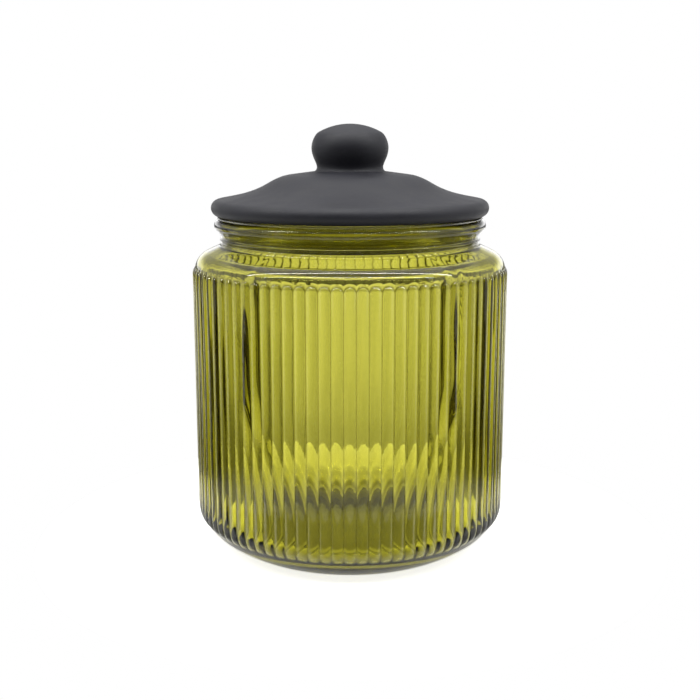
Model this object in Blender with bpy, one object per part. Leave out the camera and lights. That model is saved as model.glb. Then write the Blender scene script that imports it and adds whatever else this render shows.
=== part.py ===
"""Ribbed glass storage jar with a coated glass lid and a finned plastic sealing ring.

The jar is one pressing of tinted glass: a round body with convex upright ribs, a plain
shoulder, a short neck with two rings and a thick rounded rim. The lid is a second
pressing, with its knob, a thick rounded edge and a hollow plug underneath. The sealing
ring is stretched round the plug. Its flange lies between the lid and the rim, and its
fins fill the mouth.

Sizes are in metres. The origin is the centre of the foot, and +Z is up the jar's axis.
"""

import math
from collections import namedtuple

import bmesh
import bpy

# Gap left between pieces that touch
CLEARANCE = 0.0003

# Jar body, outside
BODY_RADIUS = 0.0723
SHOULDER_TOP = 0.1392
SHOULDER_ROUND = 0.0089
SHOULDER_SLOPE = 25.0
SHOULDER_WIDTH = 0.0135
FOOT_INSET = 0.0163
BEARING_WIDTH = 0.0060
PUNT_HEIGHT = 0.0026
PUNT_STEPS = 3
HEEL_ROUND = 0.0164
HEEL_SWEEP = 0.0600
HEEL_TURN = 53.0

# Ribs, measured on their crests
RIB_PITCH = 0.00536
RIB_HEIGHT = 0.0011
RIB_HEAD_SLOPE = 0.0010
RIB_COLUMNS = 4

# How the ribs rise out of the heel: its turn in degrees, and the share of the full rib height there
RIB_FADE = ((28.0, 0.0), (22.0, 0.65), (14.0, 1.0), (0.0, 1.0))

# Glass thickness and the inside corners
WALL = 0.0040
FLOOR = 0.0054
INNER_HEEL_ROUND = 0.0140
THROAT_ROUND = 0.0030

# Neck and rim
NECK_WALL = 0.0036
RING_COUNT = 2
RING_DEPTH = 0.0016
RING_WIDTH = 0.0013
RING_GROOVE = 0.0009
RING_PITCH = 0.0022
RIM_DEPTH = 0.0075
BEAD_DEPTH = 0.0042
BEAD_TOP_ROUND = 0.0025
BEAD_UNDER_ROUND = 0.0032
RIM_INNER_ROUND = 0.0015

# Sealing ring
SEAL_SPACE = 0.0047
FLANGE_THICKNESS = 0.0009
FLANGE_INSET = 0.0014
COLLAR_THICKNESS = 0.0012
COLLAR_DEPTH = 0.0112
FIN_COUNT = 3
FIN_FIRST = 0.0032
FIN_LAST = 0.0024
FIN_ROOT = 0.0011
FIN_TIP = 0.0005
FIN_LIFT = 0.0004

# Lid
LID_OVERHANG = 0.0013
LID_EDGE_ROUND = 0.00375
PLUG_LIP = 0.0009
PLUG_LIP_HEIGHT = 0.0016
PLUG_WALL = 0.0043
PLUG_FOOT_ROUND = 0.0009
HOLLOW_SKIRT = 0.0010
CROWN_THICKNESS = 0.0058
PLATEAU_RADIUS = 0.0283
PLATEAU_RISE = 0.0185
PLATEAU_SLOPE = 7.7
OGEE_RADIUS = 0.0385
OGEE_DROP = 0.0041
OGEE_SLOPE = 30.5
OGEE_PULL = 0.36
EDGE_SLOPE = 10.5

# Knob, one piece with the lid
KNOB_RADIUS = 0.01775
KNOB_NECK_RADIUS = 0.0153
KNOB_FILLET = 0.0016
KNOB_NECK_RISE = 0.0020
KNOB_WIDEST_RISE = 0.0107
KNOB_HEIGHT = 0.0216
KNOB_DOME = 0.0295
KNOB_DOME_EDGE = 0.0143
KNOB_EDGE_PULL = 0.0023
KNOB_CHEEK_PULL = 0.0025
KNOB_WAIST_PULL = 0.0040
KNOB_NECK_PULL = 0.0019

# Handles of a curve that rounds off a corner, as a share of the way to that corner
ROUND_PULL = 0.55

# Facets round the lid and the sealing ring
TURNED_STEPS = 48
SHARP_ANGLE = math.radians(38)

# Sizes that follow from the ones above
neck_radius = BODY_RADIUS - SHOULDER_WIDTH
bore_radius = neck_radius - NECK_WALL
ring_radius = neck_radius + RING_DEPTH
bead_radius = neck_radius + BEAD_DEPTH
foot_radius = BODY_RADIUS - FOOT_INSET
inner_radius = BODY_RADIUS - WALL
floor_top = PUNT_HEIGHT + FLOOR
rib_count = round(2 * math.pi * (BODY_RADIUS + RIB_HEIGHT) / RIB_PITCH)
shoulder_slope = math.radians(SHOULDER_SLOPE)
shoulder_centre = (BODY_RADIUS - SHOULDER_ROUND, SHOULDER_TOP - SHOULDER_ROUND)
slope_start = (
    shoulder_centre[0] + SHOULDER_ROUND * math.sin(shoulder_slope),
    shoulder_centre[1] + SHOULDER_ROUND * math.cos(shoulder_slope),
)
neck_foot = slope_start[1] + (slope_start[0] - ring_radius) * math.tan(shoulder_slope)
rings_top = neck_foot + RING_COUNT * RING_PITCH
rim_top = rings_top + RIM_DEPTH
plug_radius = bore_radius - SEAL_SPACE
fin_pitch = (COLLAR_DEPTH - FIN_FIRST - FIN_LAST) / (FIN_COUNT - 1)
flange_bottom = rim_top + CLEARANCE
flange_top = flange_bottom + FLANGE_THICKNESS
lid_land = flange_top + CLEARANCE

Station = namedtuple("Station", "radius height tilt rise crown")


def clear_scene():
    """Removes whatever the file holds, so that only the jar is left."""
    for item in list(bpy.data.objects):
        bpy.data.objects.remove(item, do_unlink=True)


def arc(centre, radius, start, end, steps):
    """Points of a circular arc as (radius, height), from one angle to another in degrees."""
    points = []
    for step in range(steps + 1):
        angle = math.radians(start + (end - start) * step / steps)
        points.append((centre[0] + radius * math.cos(angle), centre[1] + radius * math.sin(angle)))
    return points


def curve(start, start_handle, end_handle, end, steps):
    """Points of a cubic Bezier curve between two ends, pulled towards its two handles."""
    points = []
    for step in range(steps + 1):
        t = step / steps
        weights = ((1 - t) ** 3, 3 * t * (1 - t) ** 2, 3 * t * t * (1 - t), t ** 3)
        ends = (start, start_handle, end_handle, end)
        points.append(tuple(sum(w * p[axis] for w, p in zip(weights, ends)) for axis in (0, 1)))
    return points


def rounded(start, corner, end, steps):
    """Points that round off a corner between two straight stretches."""
    pulls = [tuple(p + ROUND_PULL * (c - p) for p, c in zip(point, corner)) for point in (start, end)]
    return curve(start, pulls[0], pulls[1], end, steps)


def away(point, degrees, distance):
    """The point at a distance from another, in a direction given in degrees."""
    angle = math.radians(degrees)
    return (point[0] + distance * math.cos(angle), point[1] + distance * math.sin(angle))


def plain(points):
    """Stations with no rib on them."""
    return [Station(radius, height, 0.0, 0.0, 0.0) for radius, height in points]


def glass_material(name, colour, roughness, transmission):
    """A material with the base colour, roughness and clearness of one pressed or moulded piece."""
    material = bpy.data.materials.new(name)
    material.use_nodes = True
    shader = material.node_tree.nodes["Principled BSDF"]
    shader.inputs["Base Color"].default_value = colour
    shader.inputs["Roughness"].default_value = roughness
    shader.inputs["Metallic"].default_value = 0.0
    shader.inputs["Transmission Weight"].default_value = transmission
    shader.inputs["IOR"].default_value = 1.5
    return material


def finish_object(name, mesh, material):
    """Puts a mesh in the scene as one named piece, smooth except at its real corners."""
    mesh.shade_smooth()
    mesh.set_sharp_from_angle(angle=SHARP_ANGLE)
    mesh.materials.append(material)
    piece = bpy.data.objects.new(name, mesh)
    bpy.context.scene.collection.objects.link(piece)
    return piece


def rib_rise(phase):
    """Height of a rib at a share of its pitch: a circular arc, 0 in the groove and full on the crest."""
    half = RIB_PITCH / 2
    bend = (half ** 2 + RIB_HEIGHT ** 2) / (2 * RIB_HEIGHT)
    across = (2 * phase - 1) * half
    return math.sqrt(bend ** 2 - across ** 2) - (bend - RIB_HEIGHT)


def heel_centres():
    """Centres of the heel's two arcs: the round under the wall, and the sweep that ends at the foot."""
    turn = math.radians(HEEL_TURN)
    sweep_r = BODY_RADIUS - HEEL_ROUND - (HEEL_SWEEP - HEEL_ROUND) * math.cos(turn)
    sweep_z = math.sqrt(HEEL_SWEEP ** 2 - (foot_radius - sweep_r) ** 2)
    round_z = sweep_z - (HEEL_SWEEP - HEEL_ROUND) * math.sin(turn)
    return (BODY_RADIUS - HEEL_ROUND, round_z), (sweep_r, sweep_z)


def underside_and_heel():
    """The raised middle of the underside, the flat ring that the jar stands on, and the plain heel."""
    hollow = foot_radius - BEARING_WIDTH
    shares = [step / PUNT_STEPS for step in range(PUNT_STEPS)]
    punt = [(hollow * share, PUNT_HEIGHT * (1 - share ** 2)) for share in shares]
    _, sweep = heel_centres()
    foot_turn = math.degrees(math.asin(sweep[1] / HEEL_SWEEP))
    return plain(punt + [(hollow, 0.0)] + arc(sweep, HEEL_SWEEP, -foot_turn, -HEEL_TURN, 3))


def ribbed_wall():
    """Stations of the ribbed stretch, from the fading rib ends on the heel to the rounded rib heads."""
    centre, _ = heel_centres()
    rows = []
    for turn, rise in RIB_FADE:
        radius, height = away(centre, -turn, HEEL_ROUND)
        rows.append(Station(radius, height, -turn, rise, 0.0))
    rows.append(Station(BODY_RADIUS, shoulder_centre[1], 0.0, 1.0, RIB_PITCH / 2))
    return rows


def shoulder_and_neck():
    """The round shoulder above the ribs, its slope up to the neck, the neck rings and the undercut."""
    start = math.degrees(math.asin(RIB_HEAD_SLOPE / SHOULDER_ROUND))
    points = arc(shoulder_centre, SHOULDER_ROUND, start, 90 - SHOULDER_SLOPE, 3)
    for ring in range(RING_COUNT):
        base = neck_foot + ring * RING_PITCH
        if ring:
            points.append((ring_radius - RING_GROOVE, base - (RING_PITCH - RING_WIDTH) / 2))
        points += [(ring_radius, base), (ring_radius, base + RING_WIDTH)]
    return plain(points + [(ring_radius - RING_GROOVE, rings_top)])


def rim():
    """The thick rounded rim: a full round under its widest line, a tighter one above it, and a land."""
    widest = rim_top - BEAD_TOP_ROUND
    under = (bead_radius - BEAD_UNDER_ROUND, widest)
    top = (bead_radius - BEAD_TOP_ROUND, widest)
    inner = (bore_radius + RIM_INNER_ROUND, rim_top - RIM_INNER_ROUND)
    points = arc(under, BEAD_UNDER_ROUND, -45, 0, 2)
    points += arc(top, BEAD_TOP_ROUND, 0, 90, 3)[1:]
    return plain(points + arc(inner, RIM_INNER_ROUND, 90, 180, 2))


def inside():
    """The bore of the neck, the throat, and the smooth inner wall down to the floor."""
    corner_round = SHOULDER_ROUND - WALL
    corner = (inner_radius - corner_round, shoulder_centre[1])
    ceiling = away(corner, 90 - SHOULDER_SLOPE, corner_round)
    throat_end = bore_radius + THROAT_ROUND * (1 - math.sin(shoulder_slope))
    throat_foot = ceiling[1] + (ceiling[0] - throat_end) * math.tan(shoulder_slope)
    throat = (bore_radius + THROAT_ROUND, throat_foot + THROAT_ROUND * math.cos(shoulder_slope))
    heel = (inner_radius - INNER_HEEL_ROUND, floor_top + INNER_HEEL_ROUND)
    points = arc(throat, THROAT_ROUND, 180, 270 - SHOULDER_SLOPE, 2)
    points += arc(corner, corner_round, 90 - SHOULDER_SLOPE, 0, 2)
    points += arc(heel, INNER_HEEL_ROUND, 0, -90, 4)
    return plain(points + [(0.0, floor_top)])


def wedge_row(bm, station, wedge):
    """Vertices of one station across one rib's wedge: two on plain glass, more where the rib stands."""
    columns = RIB_COLUMNS if station.rise else 1
    row = []
    for column in range(columns + 1):
        phase = column / columns
        angle = wedge * (phase - 0.5) - math.pi / 2
        lift = station.rise * rib_rise(phase)
        radius = station.radius + lift * math.cos(math.radians(station.tilt))
        height = station.height + lift * math.sin(math.radians(station.tilt))
        height -= station.crown * (1 - math.sqrt(1 - (2 * phase - 1) ** 2))
        if station.radius == 0.0:
            return [bm.verts.new((0.0, 0.0, height))]
        row.append(bm.verts.new((radius * math.cos(angle), radius * math.sin(angle), height)))
    return row


def join_rows(bm, lower, upper):
    """Faces between two rows of a wedge: quads where they match, and a fan where one has fewer columns."""
    if len(lower) == len(upper):
        for a, b, c, d in zip(lower, lower[1:], upper[1:], upper):
            bm.faces.new((a, b, c, d))
        return
    few, many = sorted((lower, upper), key=len)
    last = 0
    for step in range(len(many) - 1):
        nearest = int((step + 0.5) / (len(many) - 1) * len(few))
        if nearest != last:
            bm.faces.new((few[last], few[nearest], many[step]))
        bm.faces.new((few[nearest], many[step], many[step + 1]))
        last = nearest


def make_jar():
    """One rib's wedge of the whole section, patterned round the axis and closed into one pressing."""
    stations = underside_and_heel() + ribbed_wall() + shoulder_and_neck() + rim() + inside()
    wedge = 2 * math.pi / rib_count
    bm = bmesh.new()
    rows = [wedge_row(bm, station, wedge) for station in stations]
    for lower, upper in zip(rows, rows[1:]):
        join_rows(bm, lower, upper)
    bmesh.ops.spin(
        bm,
        geom=bm.verts[:] + bm.edges[:] + bm.faces[:],
        axis=(0.0, 0.0, 1.0),
        cent=(0.0, 0.0, 0.0),
        angle=wedge * (rib_count - 1),
        steps=rib_count - 1,
        use_duplicate=True,
    )
    bmesh.ops.remove_doubles(bm, verts=bm.verts[:], dist=0.000002)
    bmesh.ops.recalc_face_normals(bm, faces=bm.faces[:])
    mesh = bpy.data.meshes.new("jar_body")
    bm.to_mesh(mesh)
    bm.free()
    colour = glass_material("olive_glass", (0.47, 0.50, 0.06, 1.0), 0.03, 0.95)
    return finish_object("jar_body", mesh, colour)


def turned(name, profile, closed, material):
    """A piece turned from its half section, which is given with heights above the jar's rim."""
    mesh = bpy.data.meshes.new(name)
    edges = [(i, i + 1) for i in range(len(profile) - 1)]
    if closed:
        edges.append((len(profile) - 1, 0))
    mesh.from_pydata([(radius, 0.0, height) for radius, height in profile], edges, [])
    blank = bpy.data.objects.new(name + "_profile", mesh)
    bpy.context.scene.collection.objects.link(blank)
    screw = blank.modifiers.new("turn", "SCREW")
    screw.axis = "Z"
    screw.angle = 2 * math.pi
    screw.steps = TURNED_STEPS
    screw.render_steps = TURNED_STEPS
    screw.use_merge_vertices = True
    screw.merge_threshold = 0.00001
    bpy.context.view_layer.update()
    graph = bpy.context.evaluated_depsgraph_get()
    solid = bpy.data.meshes.new_from_object(blank.evaluated_get(graph))
    solid.name = name
    bpy.data.objects.remove(blank, do_unlink=True)
    return finish_object(name, solid, material)


def seal_profile():
    """Half section of the sealing ring: flange, collar round the plug, and fins that fill the bore."""
    inner = plug_radius + CLEARANCE
    outer = inner + COLLAR_THICKNESS
    top = flange_top - rim_top
    bottom = flange_bottom - rim_top
    edge = bead_radius - FLANGE_INSET
    profile = [(inner, top), (edge - FLANGE_THICKNESS / 3, top), (edge, (top + bottom) / 2)]
    profile += [(edge - FLANGE_THICKNESS / 3, bottom), (outer, bottom)]
    for fin in range(FIN_COUNT):
        height = top - FIN_FIRST - fin * fin_pitch
        tip = bore_radius - CLEARANCE
        profile.append((outer, height + FIN_ROOT / 2))
        profile.append((tip, height + FIN_LIFT + FIN_TIP / 2))
        profile.append((tip, height + FIN_LIFT - FIN_TIP / 2))
        profile.append((outer, height - FIN_ROOT / 2))
    return profile + [(outer, top - COLLAR_DEPTH), (inner, top - COLLAR_DEPTH)]


def knob_profile(plateau_top):
    """The knob from the centre of its dome, over its rounded edge and barrel, to the fillet on the lid."""
    top = plateau_top + KNOB_HEIGHT
    dome_centre = (0.0, top - KNOB_DOME)
    dome_turn = math.degrees(math.asin(KNOB_DOME_EDGE / KNOB_DOME))
    points = arc(dome_centre, KNOB_DOME, 90, 90 - dome_turn, 2)
    points[0] = (0.0, top)
    edge = points[-1]
    widest = (KNOB_RADIUS, plateau_top + KNOB_WIDEST_RISE)
    cheek = (KNOB_RADIUS, widest[1] + KNOB_CHEEK_PULL)
    points += curve(edge, away(edge, -dome_turn, KNOB_EDGE_PULL), cheek, widest, 3)[1:]
    neck = (KNOB_NECK_RADIUS, plateau_top + KNOB_NECK_RISE)
    waist = (KNOB_RADIUS, widest[1] - KNOB_WAIST_PULL)
    points += curve(widest, waist, (neck[0], neck[1] + KNOB_NECK_PULL), neck, 3)[1:]
    seat = (neck[0] + KNOB_FILLET, plateau_top)
    return points + rounded(neck, (neck[0], plateau_top), seat, 2)[1:]


def crown_profile(land):
    """The lid's top: knob, sloping plateau, the ogee down to the brow, and the thick round edge."""
    plateau = (PLATEAU_RADIUS, land + PLATEAU_RISE)
    knob_seat = KNOB_NECK_RADIUS + KNOB_FILLET
    points = knob_profile(plateau[1] + (PLATEAU_RADIUS - knob_seat) * math.tan(math.radians(PLATEAU_SLOPE)))
    ogee = (OGEE_RADIUS, plateau[1] - OGEE_DROP)
    reach = OGEE_PULL * (OGEE_RADIUS - PLATEAU_RADIUS)
    over, under = away(plateau, -PLATEAU_SLOPE, reach), away(ogee, 180 - OGEE_SLOPE, reach)
    points += curve(plateau, over, under, ogee, 3)
    edge = (bead_radius + LID_OVERHANG - LID_EDGE_ROUND, land + LID_EDGE_ROUND)
    brow = away(edge, 90 - EDGE_SLOPE, LID_EDGE_ROUND)
    reach = OGEE_PULL * (brow[0] - OGEE_RADIUS)
    over, under = away(ogee, -OGEE_SLOPE, reach), away(brow, 180 - EDGE_SLOPE, reach)
    points += curve(ogee, over, under, brow, 4)[1:]
    return points + arc(edge, LID_EDGE_ROUND, 90 - EDGE_SLOPE, -90, 6)[1:]


def plug_profile(land):
    """The plug under the land, with the lip that holds the sealing ring, and its domed hollow."""
    lip_top = flange_top - rim_top - COLLAR_DEPTH - CLEARANCE
    lip = plug_radius + PLUG_LIP
    foot = lip_top - PLUG_LIP - PLUG_LIP_HEIGHT
    points = [(plug_radius, land), (plug_radius, lip_top), (lip, lip_top - PLUG_LIP)]
    points += [(lip, foot + PLUG_FOOT_ROUND), (lip - PLUG_FOOT_ROUND, foot)]
    hollow = plug_radius - PLUG_WALL
    points += [(hollow + PLUG_FOOT_ROUND, foot), (hollow, foot + PLUG_FOOT_ROUND)]
    spring = land + HOLLOW_SKIRT
    dome = land + PLATEAU_RISE - CROWN_THICKNESS - spring
    for radius, height in arc((0.0, 0.0), 1.0, 0, 90, 6):
        points.append((hollow * radius, spring + dome * height))
    points[-1] = (0.0, spring + dome)
    return points


def main():
    clear_scene()
    make_jar()
    clear_plastic = glass_material("clear_seal", (0.80, 0.80, 0.72, 1.0), 0.25, 0.75)
    seal = turned("seal_ring", seal_profile(), True, clear_plastic)
    black_coat = glass_material("black_coat", (0.018, 0.018, 0.021, 1.0), 0.55, 0.0)
    land = lid_land - rim_top
    lid = turned("lid", crown_profile(land) + plug_profile(land), False, black_coat)
    closure = bpy.data.objects.new("closure_axis", None)
    closure.location = (0.0, 0.0, rim_top)
    bpy.context.scene.collection.objects.link(closure)
    for piece in (seal, lid):
        piece.parent = closure
    print(f"{rib_count} ribs, {1000 * bore_radius:.1f} mm bore, knob top at "
          f"{1000 * (rim_top + max(v.co.z for v in lid.data.vertices)):.1f} mm")


main()
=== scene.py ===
# %% [markdown]
# A storage jar of pressed glass, in cells.
# The frame holds the jar at its real size as three plain solids: the jar, its lid and the sealing ring between them.
# This lesson makes the fine surface of each piece over its solid, then the glass, the coating and the clear plastic,
# and last the studio. All lengths are in metres, and +Z is up the jar's axis.

# %% Load the frame
import math

import bpy
import numpy as np
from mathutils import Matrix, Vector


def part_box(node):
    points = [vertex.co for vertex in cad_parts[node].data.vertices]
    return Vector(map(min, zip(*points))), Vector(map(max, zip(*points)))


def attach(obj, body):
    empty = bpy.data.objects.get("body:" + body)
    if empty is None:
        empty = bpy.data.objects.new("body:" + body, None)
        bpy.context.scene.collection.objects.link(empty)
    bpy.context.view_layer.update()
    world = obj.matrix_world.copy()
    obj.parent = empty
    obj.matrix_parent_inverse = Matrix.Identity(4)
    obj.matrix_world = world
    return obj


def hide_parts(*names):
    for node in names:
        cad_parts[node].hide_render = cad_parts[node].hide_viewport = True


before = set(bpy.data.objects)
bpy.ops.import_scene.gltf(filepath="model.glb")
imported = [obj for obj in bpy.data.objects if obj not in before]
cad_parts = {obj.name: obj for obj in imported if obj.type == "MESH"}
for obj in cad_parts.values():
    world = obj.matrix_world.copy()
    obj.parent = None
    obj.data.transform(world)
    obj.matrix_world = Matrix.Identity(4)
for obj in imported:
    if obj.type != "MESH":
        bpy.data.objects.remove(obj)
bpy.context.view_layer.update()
rim_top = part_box("jar_body")[1].z
crest_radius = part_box("jar_body")[1].x
print("nodes:", sorted(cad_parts), "rim at", round(1000 * rim_top, 2), "mm")

# %% [markdown]
# Every piece here is round, so each one starts as half of its section: points given by their distance from the axis
# and their height. A real section is drawn with straight lines, arcs and a few free curves, and so is this one.
# The alternative is a long list of measured points, but such a list hides what the corners are.

# %% Lines, arcs and curves of a section
def arc(centre, radius, start, end, count):
    """Points on a circle from one angle to another, in degrees: centre plus radius times cosine and sine."""
    turn = np.radians(np.linspace(start, end, count))
    return np.stack([centre[0] + radius * np.cos(turn), centre[1] + radius * np.sin(turn)], axis=1)


def curve(start, start_pull, end_pull, end, count):
    """A cubic Bezier curve: its four points weighted by 1, 3, 3, 1 times powers of t and 1 - t."""
    t = np.linspace(0.0, 1.0, count)
    weights = np.stack([(1 - t) ** 3, 3 * t * (1 - t) ** 2, 3 * t * t * (1 - t), t ** 3], axis=1)
    return weights @ np.array([start, start_pull, end_pull, end], float)


def line(start, end, count):
    """Evenly spaced points on a straight line, both ends included."""
    t = np.linspace(0.0, 1.0, count)[:, None]
    return np.array(start, float) * (1 - t) + np.array(end, float) * t


def away(point, degrees, distance):
    """The point at a distance from another, in a direction given in degrees."""
    turn = math.radians(degrees)
    return (point[0] + distance * math.cos(turn), point[1] + distance * math.sin(turn))


def rounded(start, corner, end, count, pull=0.55):
    """A curve that rounds off a corner: both handles lie on the straight sides, a share of the way to it."""
    start, corner, end = (np.array(p, float) for p in (start, corner, end))
    return curve(start, start + pull * (corner - start), end + pull * (corner - end), end, count)


print("a quarter round of 10 mm has", len(arc((0, 0), 0.010, 0, 90, 7)), "points")

# %% [markdown]
# The jar's own sizes. They are the ones that its solid is built to, so the fine surface lies on the plain one.
# Heights on the neck are counted up from the shoulder, as the mould's parts are stacked.

# %% Sizes of the jar
RIB_COUNT = 86
RIB_HEIGHT = 0.0011
BODY_RADIUS = crest_radius - RIB_HEIGHT
SHOULDER_TOP = 0.1392
SHOULDER_ROUND = 0.0089
SHOULDER_SLOPE = 25.0
SHOULDER_WIDTH = 0.0135
FOOT_INSET = 0.0163
WALL = 0.0040
NECK_WALL = 0.0036
RING_COUNT = 2
RING_DEPTH = 0.0016
RING_PITCH = 0.0022
BEAD_DEPTH = 0.0042

rib_pitch = 2 * math.pi * crest_radius / RIB_COUNT
neck_radius = BODY_RADIUS - SHOULDER_WIDTH
bore_radius = neck_radius - NECK_WALL
ring_radius = neck_radius + RING_DEPTH
bead_radius = neck_radius + BEAD_DEPTH
foot_radius = BODY_RADIUS - FOOT_INSET
inner_radius = BODY_RADIUS - WALL
shoulder_centre = (BODY_RADIUS - SHOULDER_ROUND, SHOULDER_TOP - SHOULDER_ROUND)
slope_start = away(shoulder_centre, 90 - SHOULDER_SLOPE, SHOULDER_ROUND)
neck_foot = slope_start[1] + (slope_start[0] - ring_radius) * math.tan(math.radians(SHOULDER_SLOPE))
rings_top = neck_foot + RING_COUNT * RING_PITCH
print("rib pitch", round(1000 * rib_pitch, 2), "mm, mouth", round(2000 * bore_radius, 1), "mm wide")

# %% [markdown]
# The outside of the jar, from the middle of its underside upward. Each row of the surface says where the plain glass
# is, which way it faces, how much of a rib's height it has, and how far it bends down at the rib's sides.
# The foot is plain: a raised middle and a flat ring to stand on. The heel is two arcs, and on the upper one the ribs
# rise out of the glass. Cutting the ribs off would be quicker, but it leaves a sharp edge that pressed glass hasn't.

# %% The underside and the heel
BEARING_WIDTH = 0.0060
BEARING_INNER_EASE = 0.0004
BEARING_OUTER_EASE = 0.0010
PUNT_HEIGHT = 0.0026
PUNT_SHARES = (0.0, 0.3, 0.6, 0.85, 0.96)
HEEL_ROUND = 0.0164
HEEL_SWEEP = 0.0600
HEEL_TURN = 53.0
HEEL_ROWS = 14
SWEEP_ROWS = 5
RIB_FADE_TURNS = (0.0, 14.0, 20.0, 25.0, 28.0)
RIB_FADE_SHARES = (1.0, 1.0, 0.80, 0.40, 0.0)


def plain_rows(points):
    """Rows of plain glass: radius, height, and then no tilt, no rib and no arch."""
    return np.concatenate([points, np.zeros((len(points), 3))], axis=1)


def underside():
    """The raised middle, whose height falls off with the square of the radius, and the flat bearing ring."""
    hollow = foot_radius - BEARING_WIDTH
    share = np.array(PUNT_SHARES)
    middle = np.stack([hollow * share, PUNT_HEIGHT * (1 - share ** 2)], axis=1)
    bearing = [(hollow + BEARING_INNER_EASE, 0.0), (foot_radius - BEARING_OUTER_EASE, 0.0)]
    return np.concatenate([middle, bearing])


def heel_centres():
    """Centres of the heel's two arcs, where the wall's round runs on into the flatter sweep to the foot."""
    turn = math.radians(HEEL_TURN)
    sweep_r = BODY_RADIUS - HEEL_ROUND - (HEEL_SWEEP - HEEL_ROUND) * math.cos(turn)
    sweep_z = math.sqrt(HEEL_SWEEP ** 2 - (foot_radius - sweep_r) ** 2)
    round_z = sweep_z - (HEEL_SWEEP - HEEL_ROUND) * math.sin(turn)
    return (BODY_RADIUS - HEEL_ROUND, round_z), (sweep_r, sweep_z)


def heel():
    """The sweep up from the foot, plain, and the round under the wall, where the ribs rise out of the glass."""
    centre, sweep = heel_centres()
    foot_turn = math.degrees(math.asin(sweep[1] / HEEL_SWEEP))
    lower = plain_rows(arc(sweep, HEEL_SWEEP, -foot_turn, -HEEL_TURN, SWEEP_ROWS)[:-1])
    turn = np.linspace(HEEL_TURN, 0.0, HEEL_ROWS)
    points = arc(centre, HEEL_ROUND, -HEEL_TURN, 0.0, HEEL_ROWS)
    rise = np.interp(turn, RIB_FADE_TURNS, RIB_FADE_SHARES)
    upper = np.stack([points[:, 0], points[:, 1], -np.radians(turn), rise, np.zeros(HEEL_ROWS)], axis=1)
    return np.concatenate([lower, upper])


print("the heel ends", round(1000 * heel_centres()[0][1], 2), "mm up")

# %% [markdown]
# At the top every rib ends in a round head that steps into the plain shoulder. The heads could be a solid of their
# own, joined on. Here the rows are bent instead: near the shoulder they are arches, as wide as a rib, and the rib's
# height falls to nothing over the last of them.

# %% The ribs' heads and the shoulder
HEAD_REACH = 0.00096
HEAD_DROP = rib_pitch / 2
HEAD_LENGTH = 0.0027
HEAD_ROWS = 5
SHOULDER_START = 0.00156
NECK_FILLET_WIDTH = 0.0012
NECK_FILLET_RISE = 0.0003

rib_top = SHOULDER_TOP - SHOULDER_ROUND + HEAD_REACH


def rib_heads():
    """Arched rows up to the shoulder: the rib's height goes down as the cosine while the row goes up as the sine."""
    turn = np.linspace(0.0, np.pi / 2, HEAD_ROWS)
    height = rib_top - HEAD_LENGTH * (1 - np.sin(turn))
    rows = [np.full(HEAD_ROWS, BODY_RADIUS), height, np.zeros(HEAD_ROWS), np.cos(turn)]
    return np.stack(rows + [np.full(HEAD_ROWS, HEAD_DROP)], axis=1)


def shoulder():
    """The plain round shoulder, its straight slope, and a small fillet at the foot of the neck."""
    start = math.degrees(math.asin(SHOULDER_START / SHOULDER_ROUND))
    points = arc(shoulder_centre, SHOULDER_ROUND, start, 90 - SHOULDER_SLOPE, 9)
    foot = (ring_radius, neck_foot)
    near = away(foot, -SHOULDER_SLOPE, NECK_FILLET_WIDTH)
    middle = line(points[-1], near, 3)[1:-1]
    return np.concatenate([points, middle, rounded(near, foot, (ring_radius, neck_foot + NECK_FILLET_RISE), 3)])


print("the ribs end", round(1000 * rib_top, 2), "mm up, the shoulder", round(1000 * SHOULDER_TOP, 2), "mm")

# %% [markdown]
# The neck has two low rings, an undercut and a thick bead at the rim. The rings are level and hold no thread, because
# this lid isn't screwed on. The bead is fuller below its widest line than above it, so it takes two arcs.

# %% The neck and the rim
RING_POINTS = 7
RING_WIDTH = 0.0013
RING_GROOVE = 0.0009
BEAD_TOP_ROUND = 0.0025
BEAD_UNDER_ROUND = 0.0032
RIM_INNER_ROUND = 0.0015


def neck():
    """Low rings with round crests, as high as the root of a sine, and the undercut below the rim.

    The lowest ring starts at its crest, because the shoulder's slope meets it there.
    """
    groove = ring_radius - RING_GROOVE
    turn = np.linspace(0.0, np.pi, RING_POINTS)
    crest = groove + RING_GROOVE * np.sqrt(np.sin(turn).clip(0))
    rise = RING_WIDTH / 2 * (1 - np.cos(turn))
    rings = []
    for ring in range(RING_COUNT):
        rings.append(np.stack([crest, neck_foot + ring * RING_PITCH + rise], axis=1)[1 if ring else RING_POINTS // 2:])
    under_end = away((bead_radius - BEAD_UNDER_ROUND, rim_top - BEAD_TOP_ROUND), -45, BEAD_UNDER_ROUND)
    undercut = rounded(rings[-1][-1], (groove, rings_top), under_end, 5)[1:-1]
    return np.concatenate(rings + [undercut])


def rim():
    """The bead: a fuller round below its widest line, a tighter one above, the land, and the bore's top edge."""
    widest = rim_top - BEAD_TOP_ROUND
    under = arc((bead_radius - BEAD_UNDER_ROUND, widest), BEAD_UNDER_ROUND, -45, 0, 6)
    top = arc((bead_radius - BEAD_TOP_ROUND, widest), BEAD_TOP_ROUND, 0, 90, 8)[1:]
    inner = arc((bore_radius + RIM_INNER_ROUND, rim_top - RIM_INNER_ROUND), RIM_INNER_ROUND, 90, 180, 6)
    return np.concatenate([under, top, inner])


outside = np.concatenate([plain_rows(underside()), heel(), rib_heads(), plain_rows(shoulder())])
outside = np.concatenate([outside, plain_rows(neck()), plain_rows(rim())])
print("the outside has", len(outside), "rows, from", outside[0, :2], "to", outside[-1, :2])

# %% [markdown]
# The inside of the jar was never touched by the ribbed mould, so it is smooth. Its section follows the outside at the
# wall's thickness, with a round heel of its own that leaves the glass thick in that corner.

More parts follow.
